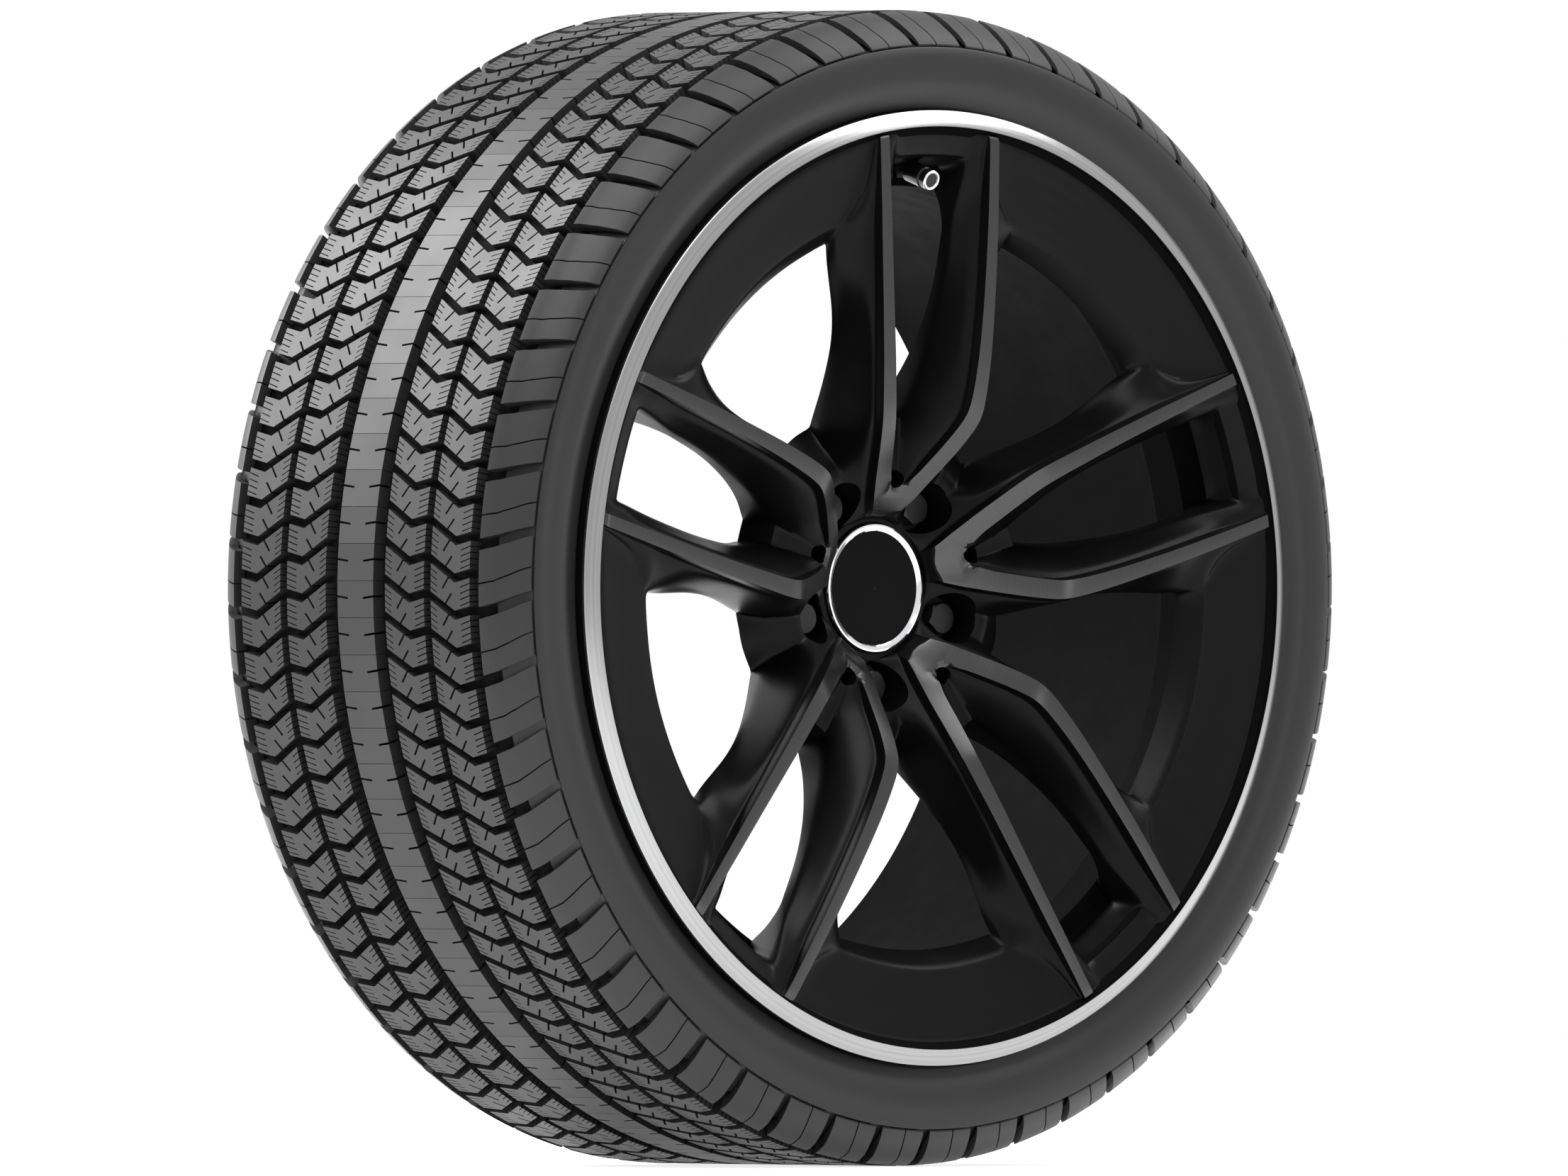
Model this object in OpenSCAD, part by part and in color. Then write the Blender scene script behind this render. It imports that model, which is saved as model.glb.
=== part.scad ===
// Car wheel: a cast alloy wheel with five pairs of spokes, its bolts, centre cap,
// tyre valve and pressure sensor, and a wide low-profile winter tyre.
// The wheel turns about the Y axis. Its outer face looks towards -Y and the origin
// is the centre of the hub face, where the centring bore starts.

/* [Rim] */
// Nominal rim diameter
rim_d = 508; // [480:2:535]
// Rim width between the two bead faces
rim_w = 228.6; // [215:0.1:240]
// Height of the rim flange over the nominal diameter
flange_h = 17.5; // [16:0.5:19]
// Thickness of the outer flange, from bead face to outer lip edge
outer_flange = 15.2; // [13:0.1:18]
// Thickness of the inner flange
inner_flange = 12.7; // [11:0.1:15]
// Width of the turned bright lip face
lip_w = 9.1; // [7:0.1:11]
// Wall of the barrel
barrel_wall = 4.8; // [4:0.1:7]
// Depth of the drop well under the bead seat
well_depth = 18.2; // [16:0.1:19]

/* [Hub] */
// Offset of the hub face from the wheel's centre plane, towards the outer face
hub_offset = 41; // [36:0.5:46]
// Bore that centres the wheel on the hub
hub_bore_d = 66.6; // [60:0.1:68]
// Diameter of the hub pad on the back
hub_pad_d = 152; // [148:1:156]
// Depth of the centring bore from the hub face
hub_bore_depth = 14; // [10:0.5:16]

/* [Bolts] */
// Diameter of the bolt circle
bolt_circle_d = 112; // [110:0.5:114]
// Diameter of a bolt's shank
bolt_d = 14; // [12:0.5:14.5]
// Width of the hexagon across its flats
bolt_hex = 17; // [15:0.5:19]
// How much the plain neck above the thread is relieved on each side
bolt_relief = 0.6; // [0.3:0.05:1]
// Length of the thread behind the hub face
bolt_reach = 14; // [12:1:32]
// Radius of the ball-shaped bolt seat
bolt_seat_r = 14; // [13.5:0.25:14.25]
// Diameter of the pocket round a bolt head
bolt_pocket_d = 29; // [28:0.5:30]
// Depth of a bolt head's top behind the lip edge
bolt_head_depth = 52.4; // [50:0.1:56]

/* [Centre cap] */
// Outer diameter of the cap's bright trim ring
cap_d = 73.6; // [70:0.1:75]
// Width of the trim ring
cap_ring_w = 4.2; // [3.5:0.1:6]
// Depth of the cap's face behind the lip edge
cap_depth = 51; // [49:0.1:53]
// Gap round the cap
cap_gap = 0.4; // [0.2:0.05:0.8]

/* [Spokes] */
// Diameter of the blind notch pocket behind the tip of each pair
notch_pocket_d = 10.4; // [8:0.1:12]
// Depth of the spoke's shoulder under its turned top
shoulder_drop = 9; // [6:0.5:12]

/* [Tyre] */
// Outer diameter of the tyre
tyre_d = 657.4; // [640:0.2:680]
// Width over the sidewalls
tyre_w = 258; // [250:1:266]
// Number of tread pitches round the tyre
pitches = 98; // [60:1:104]
// Depth of the tread grooves
tread_depth = 7.6; // [6:0.1:9]
// Half width of the solid centre rib
rib_half = 15; // [12:0.5:17]
// Width of the V-shaped grooves across the tread blocks
groove_w = 5.3; // [4:0.1:7]
// Number of shoulder blocks round the tyre on each side
shoulder_pitches = 53; // [40:1:60]
// Width of the grooves between the shoulder blocks
shoulder_groove_w = 6.4; // [4:0.1:8]

/* [Valve] */
// Diameter of the valve cap
valve_cap_d = 12.4; // [10:0.1:14]
// Length of the valve cap
valve_cap_l = 19; // [14:0.5:24]
// Lean of the valve from the wheel's axis
valve_lean = 18; // [14:0.5:22]
// Radius at which the valve cap's end lies
valve_tip_r = 231.5; // [230:0.5:233]

/* [Hidden] */

bead_r = rim_d / 2 - 0.3;
flange_r = rim_d / 2 + flange_h;
bead_z = rim_w / 2;
lip_z = bead_z + outer_flange;
lip_rise = lip_w * 0.374;
lip_in_r = flange_r - lip_w;
back_z = -bead_z - inner_flange;
flange_round = 9.5;
well_r = bead_r - well_depth;
hub_z = hub_offset;
hub_face_d = lip_z - hub_z;
// The spoke tables are drawn for this inner lip radius, depth of the hub face and flange
drawn_r = 262.4;
drawn_face_d = 88.5;
drawn_flange = 15.2;
// The hub end keeps its size, and the spokes and webs stretch from there to the lip
spoke_root_r = 110;
function fitted(r) = r < spoke_root_r ? r :
  spoke_root_r + (r - spoke_root_r) * (lip_in_r - spoke_root_r) / (drawn_r - spoke_root_r);
// The back of the hub follows the hub face, and the edge at the lip the bead face
function sunk(r, d) = d + (hub_face_d - drawn_face_d) * max(0, min(1, (150 - r) / 74))
  + (outer_flange - drawn_flange) * max(0, min(1, (r - 240) / 10));
// The valve keeps its distance from the lip, and the sensor lies in the drop well
valve_r = valve_tip_r + lip_in_r - drawn_r;
sensor_r = well_r + 3.5;

// z of a point that lies d behind the lip's outer edge
function at(d) = lip_z - d;
// points of an arc in the profile plane
function arc(c, r, a0, a1, n) =
  [for (k = [0:n]) let (a = a0 + (a1 - a0) * k / n) [c[0] + r * cos(a), c[1] + r * sin(a)]];

// The rim's inside, from the back to the lip: barrel, edge of the turned part,
// pocket face under the outer bead seat and the slope up to the lip
pocket_r = lip_in_r - 33.4;
pocket_top_r = lip_in_r - 21.8;
slot_end_r = lip_in_r - 16.9;
web_edge_r = lip_in_r - 1.4;
module rim_section() {
  polygon(concat(
    [[lip_in_r, lip_z + lip_rise], [flange_r, lip_z]],
    arc([flange_r - flange_round, bead_z + flange_round], flange_round, 0, -90, 5),
    [[bead_r + 1, bead_z], [bead_r, bead_z - 1], [bead_r - 1.7, bead_z - 20.5],
     [bead_r - 1.2, bead_z - 22], [bead_r - 1.2, bead_z - 24], [bead_r - 5.5, bead_z - 28.5],
     [well_r, bead_z - 36], [well_r, bead_z - 60], [well_r + 2.5, bead_z - 66],
     [bead_r - 5.2, -bead_z + 32], [bead_r - 1.2, -bead_z + 23.5], [bead_r - 1.2, -bead_z + 21.5],
     [bead_r - 1.7, -bead_z + 20], [bead_r, -bead_z + 1], [bead_r + 1, -bead_z]],
    arc([flange_r - flange_round, -bead_z - flange_round], flange_round, 90, 0, 5),
    [[flange_r, back_z + 1], [flange_r - 1.5, back_z], [flange_r - 9, back_z],
     [flange_r - 19.5, back_z + 6], [bead_r - 1.9 - barrel_wall, -bead_z + 2.8],
     [bead_r - 2.4 - barrel_wall, -bead_z + 16], [bead_r - 5.4 - barrel_wall, -bead_z + 34],
     [well_r - barrel_wall + 0.8, at(63.5)], [pocket_r, at(58.5)], [pocket_r, at(34)],
     [pocket_top_r, at(34)], [slot_end_r, at(6)], [web_edge_r, at(1.2)]]));
}

// Half outline of a spoke pair, from the pair's middle outwards, over the radius.
// Each line is [radius, distance from the pair's middle line].
ridge_in = [[52, 0.8], [56, 4.6], [62, 8], [73, 14], [86, 20.5], [97, 25.5], [108, 28.7],
  [122, 30.8], [140, 32.6], [160, 34.2], [198, 36.5], [230, 38], [264, 39]];
ridge_out = [[38, 7], [43, 10], [54, 16.3], [65, 21.8], [76, 27], [87, 32], [97, 36.2], [108, 39.1],
  [122, 40.6], [140, 41.9], [160, 43], [198, 44.6], [230, 45.5], [264, 46.4]];
slot_front = [[56, 1.6], [62, 3], [73, 5], [86, 7], [97, 8.2], [108, 10.6], [127, 16], [146, 19.6],
  [162, 22.1], [180, 23.9], [197, 25], [215, 25.9], [230, 26.7], [264, 27.6]];
slot_back = [[56, 1.6], [86, 5], [100, 5], [111, 8], [121, 12.4], [131, 15.4], [141, 17.4], [151, 19],
  [161, 21], [182, 23.4], [201, 23.8], [230, 25.5], [264, 26]];
window_front = [[38, 19], [53, 27], [62, 31.5], [73, 37], [86, 41.5], [97, 44.2], [110, 45.5], [120, 46.5],
  [130, 47], [148, 48.5], [158, 49.6], [168, 51.6], [178, 54.2], [189, 57.5], [199, 61.5], [208, 66],
  [215, 69.5], [220, 61], [229, 54.8], [245, 49.6], [264, 47.4]];
window_back = [[38, 19], [86, 40], [101, 44.6], [119, 46.4], [129, 47.2], [139, 48.2], [148, 49.6],
  [158, 51.6], [169, 54.6], [179, 58], [190, 62.4], [203, 68], [222, 62], [264, 48]];

// Heights over the radius, as the depth behind the lip's outer edge
top_depth = [[38, 49.5], [40.7, 46.6], [44, 42.6], [48, 39], [54, 34.7], [68, 25.4], [81.5, 15.9],
  [95, 7.4], [108.5, 2.4], [122, 0.2],
  [136, -1.3], [163, -2.4], [190, -3.1], [217, -3.4], [262, -2.9], [264, -2.4]];
slot_depth = [[56, 37.5], [73, 35], [86, 36.4], [97, 39], [108, 34.5], [127, 30], [146, 27.4], [162, 24.2],
  [180, 20.5], [197, 17.5], [215, 14.6], [230, 9.8], [240, 6.4], [264, 4]];
window_depth = [[38, 55], [46, 53.5], [53, 50.5], [62, 45], [73, 40], [80, 40.5], [86, 46], [97, 54],
  [110, 48.5], [120, 43], [130, 38], [148, 30.5], [158, 27], [168, 24.2], [178, 22], [189, 19.6], [199, 17],
  [208, 14.6], [215, 9.6], [229, 6.6], [245, 3.8], [264, 3.6]];
back_depth = [[38, 84], [76, 80], [86, 70], [100, 60], [110, 54], [120, 48], [130, 43], [140, 38.5],
  [150, 34],
  [160, 31], [170, 28.8], [180, 27], [190, 25], [206, 22], [222, 25], [233, 37.5], [244, 37.5], [250, 17.5],
  [264, 9.5]];

// Rows from the hub to the lip, on the front and on the back
row_front = [38, 41, 46, 52, 58, 66, 77, 87, 97, 107, 121, 139, 158, 178, 197, 214, 229, 245, 256, 264];
row_back = [38, 41, 46, 54, 62, 72, 84, 99, 103, 110, 122, 139, 157, 176, 193, 205, 222, 238, 250, 264];
rows = len(row_front);
SLOT_IN = 8;
SLOT_OUT = 17;
WIN_IN = 7;
WIN_OUT = 15;
// Columns from a pair's middle line (0) to the middle of the window beside it (10)
half_cols = 10;
cols = 10 * half_cols;
back_of = [0, 1, 1, 1, 2, 2, 2, 3, 3, 4, 5];
back_cols = 50;

function ang(h, r) = asin(min(0.99, h / r));
function mix(a, b, t) = a + (b - a) * t;
// angle from the pair's middle and depth of front column j at row i
function front_r(i, j) =
  (i == WIN_OUT && j > 8) ? row_front[i] + 3 :
  (i == SLOT_OUT && j < 2) ? row_front[i] + 3.5 : row_front[i];
function front_h(r, j) =
  let (in = r < 52 ? 0 : lookup(r, ridge_in), out = lookup(r, ridge_out), w = lookup(r, window_front),
       s = r < 56 ? in * 0.3 : lookup(r, slot_front), g = min(4.2, (in - s) * 0.45),
       q = min(4.2, (w - out) * 0.45))
  r < 50 ? [0, 0.15, 0.3, 0.45, 0.6, 1][min(j, 5)] * out
    + (j > 5 ? [0, 0.12, 0.45, 1][j - 5] * (w - out) : 0) :
  j == 0 ? 0 : j == 1 ? s : j == 2 ? in - g : j == 3 ? in - g * 0.3 : j == 4 ? in : j == 5 ? out :
  j == 6 ? out + q * 0.3 : j == 7 ? out + q : w;
function front_a(i, j) = let (r = front_r(i, j))
  j <= 8 ? ang(front_h(r, j), r) : mix(ang(lookup(r, window_front), r), 36, (j - 8) / 2);
function front_d(i, j) =
  let (r = front_r(i, j), top = lookup(r, top_depth), s = r < 54 ? top : lookup(r, slot_depth),
    w = lookup(r, window_depth),
       ds = min(shoulder_drop, (s - top) * 0.55), dw = min(shoulder_drop, (w - top) * 0.55))
  (j < 2) ? s : j == 2 ? top + ds : j == 3 ? top + ds * 0.6 : j < 6 ? top
    : j == 6 ? top + dw * 0.6 : j == 7 ? top + dw : w;
function back_r(i, b) =
  (i == WIN_IN && b > 3) ? 104 : row_back[i];
function back_a(i, b) =
  let (r = back_r(i, b), s = ang(lookup(r, slot_back), r), w = ang(lookup(r, window_back), r))
  b == 0 ? 0 : b == 1 ? s : b == 2 ? mix(s, w, 0.5) : b == 3 ? w : mix(w, 36, (b - 3) / 2);
function back_d(i, b) = (i == SLOT_OUT && b < 2) ? 20 : lookup(back_r(i, b), back_depth);
function polar(r, a, d) = [r * cos(a), r * sin(a), at(d)];
function pair_angle(p) = 90 + 72 * p;
// column c runs once round the wheel, 20 to a pair
function col_j(c) = (c % 20) - 9;
function front_pt(i, c) = let (j = col_j(c), k = abs(j))
  polar(fitted(front_r(i, k)), pair_angle(floor(c / 20)) + sign(j) * front_a(i, k), front_d(i, k));
function bcol_j(c) = (c % 10) - 4;
function back_pt(i, c) = let (j = bcol_j(c), k = abs(j))
  polar(fitted(back_r(i, k)), pair_angle(floor(c / 10)) + sign(j) * back_a(i, k),
    sunk(back_r(i, k), back_d(i, k)));
function open_cell(i, k) = (k < 1 && i >= SLOT_IN && i < SLOT_OUT) || (k >= 8 && i >= WIN_IN && i < WIN_OUT);
function cell_k(j, last = half_cols) = j >= last ? last - 1 : j >= 0 ? j : -j - 1;
// front column number of a pair's column j, and the back column under it
function F(i, c) = i * cols + (c + cols) % cols;
function back_col(c) =
  let (cc = (c + cols) % cols, j = col_j(cc)) floor(cc / 20) * 10 + 4 + sign(j) * back_of[abs(j)];
function B(i, c) = rows * cols + i * back_cols + (c + back_cols) % back_cols;
// a four-cornered face as two triangles, leaving out a side with no length
function quad(a, b, c, d) = concat((a == b || b == c || a == c) ? [] : [[a, b, c]],
  (a == c || c == d || a == d) ? [] : [[a, c, d]]);

module spider() {
  points = concat([for (i = [0:rows - 1]) for (c = [0:cols - 1]) front_pt(i, c)],
                  [for (i = [0:rows - 1]) for (c = [0:back_cols - 1]) back_pt(i, c)]);
  function k_of(c) = cell_k(col_j((c + cols) % cols));
  front = [for (i = [0:rows - 2]) for (c = [0:cols - 1]) if (!open_cell(i, k_of(c)))
    each quad(F(i, c), F(i, c + 1), F(i + 1, c + 1), F(i + 1, c))];
  bk = [0, 1, 5, 8, 9];
  back = [for (i = [0:rows - 2]) for (c = [0:back_cols - 1]) if (!open_cell(i, bk[cell_k(bcol_j(c), 5)]))
    each quad(B(i, c), B(i + 1, c), B(i + 1, c + 1), B(i, c + 1))];
  // side walls of the slots and windows, along the rows
  sides = [for (i = [0:rows - 2]) for (c = [0:cols - 1])
    let (left = open_cell(i, k_of(c - 1)), right = open_cell(i, k_of(c)), b = back_col(c))
    if (left != right) each (left ? quad(F(i, c), F(i + 1, c), B(i + 1, b), B(i, b))
                                  : quad(F(i, c), B(i, b), B(i + 1, b), F(i + 1, c)))];
  // end walls of the slots and windows and of the whole casting, across the rows
  ends = [for (i = [0:rows - 1]) for (c = [0:cols - 1])
    let (before = i == 0 || open_cell(i - 1, k_of(c)), after = i == rows - 1 || open_cell(i, k_of(c)),
         b0 = back_col(c), b1 = back_col(c + 1))
    if (before != after) each (after ? quad(F(i, c), F(i, c + 1), B(i, b1), B(i, b0))
                                     : quad(F(i, c), B(i, b0), B(i, b1), F(i, c + 1)))];
  polyhedron(points, concat(front, back, sides, ends), convexity = 12);
}

// Places of the bolts, the valve and the wheel's own axes
module laid() {
  rotate([90, 0, 0]) translate([0, 0, -hub_z]) children();
}
module at_bolt(k) {
  rotate([0, 0, 126 + 72 * k]) translate([bolt_circle_d / 2, 0, 0]) children();
}
// In the valve's frame +z runs out along its axis and z = 0 is the cap's end
module on_valve() {
  translate([0, valve_r, at(4)]) rotate([valve_lean, 0, 0]) children();
}
// a turned piece in the valve's frame, given as [radius, depth from the cap's end]
module turned(p, facets = 48) {
  rotate_extrude($fn = facets) polygon([for (q = p) [q[0], -q[1]]]);
}

hub_r = hub_bore_d / 2;
cap_r = cap_d / 2;
seat_d = bolt_head_depth + 5.1;
// raised ring of the hub round the cap, and the step that the cap sits on
ring_r = cap_r + 4.2;
ring_d = cap_depth + 3;
cap_seat_d = cap_depth + 4.5;
// end of the cap's skirt, just short of the centring bore
skirt_end_d = hub_face_d - hub_bore_depth - 0.9;
nut_seat = 33;
spot_face = 39.5;

module hub_section() {
  polygon([[hub_r, at(hub_face_d)], [hub_pad_d / 2 - 1, at(hub_face_d)], [hub_pad_d / 2, at(hub_face_d - 1)],
    [hub_pad_d / 2, at(hub_face_d - 5)], [hub_pad_d / 2 - 2, at(63)], [60, at(58)],
    [ring_r + 0.5, at(ring_d + 0.6)],
    [ring_r, at(ring_d)], [hub_r, at(ring_d)]]);
}

// What is machined out of the raw casting
module machining() {
  // centring bore, clearance bore with the groove for the cap's fingers, cap seat
  translate([0, 0, at(hub_face_d + 1)]) cylinder(r = hub_r, h = 40, $fn = 96);
  rotate_extrude($fn = 96) polygon([[0, at(hub_face_d - hub_bore_depth)],
    [cap_r - 3, at(hub_face_d - hub_bore_depth)],
    [cap_r - 1.8, at(hub_face_d - hub_bore_depth - 1.3)], [cap_r - 1.8, at(skirt_end_d - 1.6)],
    [cap_r - 0.6, at(skirt_end_d - 2.6)], [cap_r - 0.6, at(skirt_end_d - 5.6)],
    [cap_r - 1.8, at(skirt_end_d - 6.6)],
    [cap_r - 1.8, at(cap_seat_d)], [cap_r + cap_gap, at(cap_seat_d)],
    [cap_r + cap_gap, at(20)], [0, at(20)]]);
  for (k = [0:4]) at_bolt(k) rotate([0, 0, 97]) {
    translate([0, 0, at(seat_d + 6)]) cylinder(d = bolt_pocket_d, h = 60, $fn = 48);
    translate([0, 0, at(seat_d)]) sphere(r = bolt_seat_r, $fn = 48);
    translate([0, 0, at(hub_face_d + 1)]) cylinder(d = bolt_d + 1, h = 40, $fn = 36);
  }
  // blind notch pocket behind the tip of each pair
  for (k = [0:4]) rotate([0, 0, 90 + 72 * k]) translate([62, 0, at(45)])
    rotate([0, 0, 97]) cylinder(d = notch_pocket_d, h = 40, $fn = 32);
  // valve hole with a spot face inside and outside
  on_valve() {
    translate([0, 0, -nut_seat]) cylinder(r = 7.7, h = nut_seat - 9, $fn = 48);
    translate([0, 0, -spot_face - 30]) cylinder(r = 8, h = 30, $fn = 48);
    translate([0, 0, -60]) cylinder(r = 5.6, h = 50, $fn = 48);
  }
}

module wheel_casting() {
  color([0.06, 0.06, 0.065]) laid() difference() {
    union() {
      rotate_extrude($fn = 180) rim_section();
      spider();
      rotate_extrude($fn = 120) hub_section();
    }
    machining();
  }
}

// Tyre: half section of the casing, then the tread pattern cut into it
tyre_r = tyre_d / 2;
base_r = tyre_r - tread_depth;
side = tyre_w / 2;
rib = rib_half;
// edges of the two block rows and of the shoulder
row_end = rib + 42.5;
row_start = rib + 48.3;
tread_end = side - 33;
shoulder_start = side - 26;
// radius at a share of the sidewall's height, and of the hollow from bead to tread
wall_low = flange_r + 1.1;
wall_high = tyre_r - 20.8;
hollow_low = flange_r - 8;
hollow_high = tyre_r - 12.7;
function wall_at(t) = wall_low + (wall_high - wall_low) * t;
function hollow_at(t) = hollow_low + (hollow_high - hollow_low) * t;
outer_half = [[tyre_r, 0], [tyre_r, rib], [base_r, rib + 1.5], [base_r, rib + 8.5], [tyre_r, rib + 10],
  [tyre_r, row_end], [base_r + 1, row_end + 1], [base_r + 1, row_start - 1], [tyre_r, row_start],
  [tyre_r, tread_end],
  [base_r + 1.4, tread_end + 1.3], [base_r + 1.4, shoulder_start - 1.3], [tyre_r - 0.4, shoulder_start],
  [tyre_r - 1.7, side - 22], [tyre_r - 4.2, side - 17.5], [tyre_r - 9.7, side - 11],
  [tyre_r - 14.7, side - 6], [tyre_r - 18.6, side - 3.2], [tyre_r - 20.6, side - 3], [wall_high, side - 2.2],
  [wall_at(0.83286), side - 0.5], [wall_at(0.63456), side + 0.3], [wall_at(0.40793), side - 0.5],
  [wall_at(0.20963), side - 3],
  [wall_at(0.08215), side - 4.4], [wall_low, side - 5.5]];
inner_half = concat(arc([flange_r - flange_round, bead_z + flange_round], flange_round + 0.3, -8, -90, 4),
  [[bead_r + 1.3, bead_z - 0.3], [bead_r + 0.3, bead_z - 1.3], [bead_r - 1.05, bead_z - 16.5],
  [bead_r + 1, bead_z - 18.5],
   [hollow_low, bead_z - 14], [hollow_at(0.342857), side - 16], [hollow_at(0.628571), side - 12],
   [hollow_at(0.784762), side - 17],
   [hollow_at(0.927619), side - 29], [hollow_at(0.984762), side - 47], [hollow_high, 0]]);
function mirrored(p, from, to) = [for (k = [from:-1:to]) [p[k][0], -p[k][1]]];

// middle line of a V groove across both block rows: mm across the tread, mm round it
groove_line = [[rib + 5, -2.6], [rib + 30, 11.1], [row_end + 1.1, 8.3], [row_start - 1.1, -11.6],
  [row_start + 20.1, -0.2], [tread_end + 3.5, -3.5]];
module v_groove() {
  translate([base_r + 1.8, 0, 0]) rotate([0, 90, 0]) linear_extrude(tread_depth + 4)
    polygon([for (s = [1, -1], k = [0:5]) let (p = groove_line[s > 0 ? k : 5 - k])
      [p[0], p[1] + s * groove_w / 2]]);
}

// groove between two shoulder blocks, running down to the raised line on the sidewall
module shoulder_groove() {
  translate([0, 0, side - 15]) rotate([22.5, 0, 0]) translate([0, 0, 15 - side]) rotate([90, 0, 0])
    linear_extrude(shoulder_groove_w, center = true)
      polygon([[tyre_r + 4, shoulder_start - 3.5], [base_r + 1.8, shoulder_start - 3.5],
        [base_r + 1, side - 22],
               [base_r - 3, side - 15],
               [base_r - 8.5, side - 7], [tyre_r - 22, side - 1.4], [tyre_r - 18, side + 3],
               [tyre_r + 4, side + 3]]);
}

module tyre() {
  color([0.12, 0.12, 0.12]) laid() difference() {
    rotate_extrude($fn = 180)
      polygon(concat(mirrored(outer_half, len(outer_half) - 1, 1), outer_half, inner_half,
                     mirrored(inner_half, len(inner_half) - 2, 0)));
    for (s = [0, 1]) mirror([0, 0, s]) {
      for (k = [0:pitches - 1]) rotate([0, 0, 175.4 + 360 * k / pitches]) mirror([0, 0, 1]) v_groove();
      for (k = [0:shoulder_pitches - 1]) rotate([0, 0, 174.8 + 360 * k / shoulder_pitches]) shoulder_groove();
    }
  }
}

// Centre cap: a disc with snap fingers, its trim ring and the ring spring inside
cap_skirt = cap_r - 2.2;
module cap_body() {
  color([0.03, 0.03, 0.03]) laid() difference() {
    rotate_extrude($fn = 96) polygon([[0, at(cap_depth + 0.9)],
      [cap_r - cap_ring_w - 0.6, at(cap_depth + 1.1)],
      [cap_r - cap_ring_w - 0.1, at(cap_depth + 1.5)], [cap_r - cap_ring_w - 0.1, at(cap_depth + 2.4)],
      [cap_r - 0.2, at(cap_depth + 2.4)], [cap_r - 0.2, at(cap_depth + 4.4)],
      [cap_skirt, at(cap_depth + 4.4)],
      [cap_skirt, at(skirt_end_d - 5.2)], [cap_r - 1, at(skirt_end_d - 4.6)],
      [cap_r - 1, at(skirt_end_d - 3.7)],
      [cap_skirt - 0.4, at(skirt_end_d)], [cap_skirt - 2.4, at(skirt_end_d)],
      [cap_skirt - 2.4, at(cap_depth + 4.6)],
      [0, at(cap_depth + 4.6)]]);
    for (k = [0:9]) rotate([0, 0, 36 * k + 18]) translate([24, -2, at(skirt_end_d + 6.4)])
      cube([20, 4, skirt_end_d - cap_depth - 0.6]);
    rotate_extrude($fn = 72) translate([cap_skirt - 2.4, at(skirt_end_d - 3.1)]) circle(r = 1.3, $fn = 24);
  }
}
module cap_ring() {
  color([0.8, 0.8, 0.8]) laid() rotate_extrude($fn = 96) polygon([[cap_r - cap_ring_w, at(cap_depth + 2.3)],
    [cap_r, at(cap_depth + 2.3)], [cap_r, at(cap_depth + 1)], [cap_r - 0.5, at(cap_depth + 0.2)],
    [cap_r - 1.4, at(cap_depth)], [cap_r - cap_ring_w + 0.8, at(cap_depth + 0.7)],
    [cap_r - cap_ring_w, at(cap_depth + 1.2)]]);
}
module cap_spring() {
  color([0.6, 0.6, 0.6]) laid() rotate_extrude($fn = 72) translate([cap_skirt - 2.45, at(skirt_end_d - 3.1)])
    circle(r = 1.2, $fn = 24);
}

// Wheel bolt: chamfered hexagon, collar, ball seat, waisted neck and thread
module bolt(k) {
  color([0.55, 0.55, 0.57]) laid() at_bolt(k) {
    intersection() {
      translate([0, 0, at(seat_d + 4)]) rotate([0, 0, 30])
        cylinder(d = bolt_hex / cos(30), h = seat_d + 4 - bolt_head_depth, $fn = 6);
      translate([0, 0, at(seat_d + 4)])
        cylinder(r1 = bolt_hex / 2 + 12, r2 = bolt_hex / 2 - 0.2, h = seat_d + 4 - bolt_head_depth, $fn = 48);
    }
    intersection() {
      translate([0, 0, at(seat_d)]) sphere(r = bolt_seat_r - 0.03, $fn = 48);
      translate([0, 0, at(seat_d + 11)]) cylinder(r = 12.2, h = 8, $fn = 48);
    }
    translate([0, 0, at(hub_face_d)])
      cylinder(d = bolt_d - 2 * bolt_relief, h = hub_face_d - seat_d - 6, $fn = 36);
    translate([0, 0, at(hub_face_d + bolt_reach - 1.5)]) cylinder(d = bolt_d, h = bolt_reach - 1.5, $fn = 36);
    translate([0, 0, at(hub_face_d + bolt_reach)]) cylinder(d1 = bolt_d - 3, d2 = bolt_d, h = 1.5, $fn = 36);
  }
}
module bolt_1() { bolt(0); }
module bolt_2() { bolt(1); }
module bolt_3() { bolt(2); }
module bolt_4() { bolt(3); }
module bolt_5() { bolt(4); }

// Valve, from its cap inwards
cap_out = valve_cap_d / 2;
module valve_cap() {
  color([0.45, 0.45, 0.47]) laid() on_valve() turned([[0, 0.5], [cap_out - 1.9, 0.5], [cap_out - 1.6, 0],
    [cap_out - 0.7, 0],
    [cap_out - 0.3, 0.5], [cap_out - 0.3, 4.2], [cap_out - 0.7, 4.6], [cap_out - 0.7, 5.4],
    [cap_out, 6.2], [cap_out, valve_cap_l - 0.5],
    [cap_out - 0.4, valve_cap_l], [4, valve_cap_l], [4, 2.6], [0, 2.6]]);
}
module valve_cap_seal() {
  color([0.05, 0.05, 0.05]) laid() on_valve() turned([[1.2, 2.7], [3.6, 2.7], [3.6, 3.8], [1.2, 3.8]]);
}
module valve_stem() {
  color([0.7, 0.7, 0.7]) laid() on_valve() turned([[2.7, 4], [3.4, 4], [3.85, 4.6], [3.85, 22],
    [4.1, 22.4], [4.1, 42.8], [7.3, 42.8],
    [7.3, 45.4], [4.6, 46], [4.6, 50], [2, 50], [2, 44], [1.4, 43], [1.4, 26], [2.7, 23]]);
}
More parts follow.
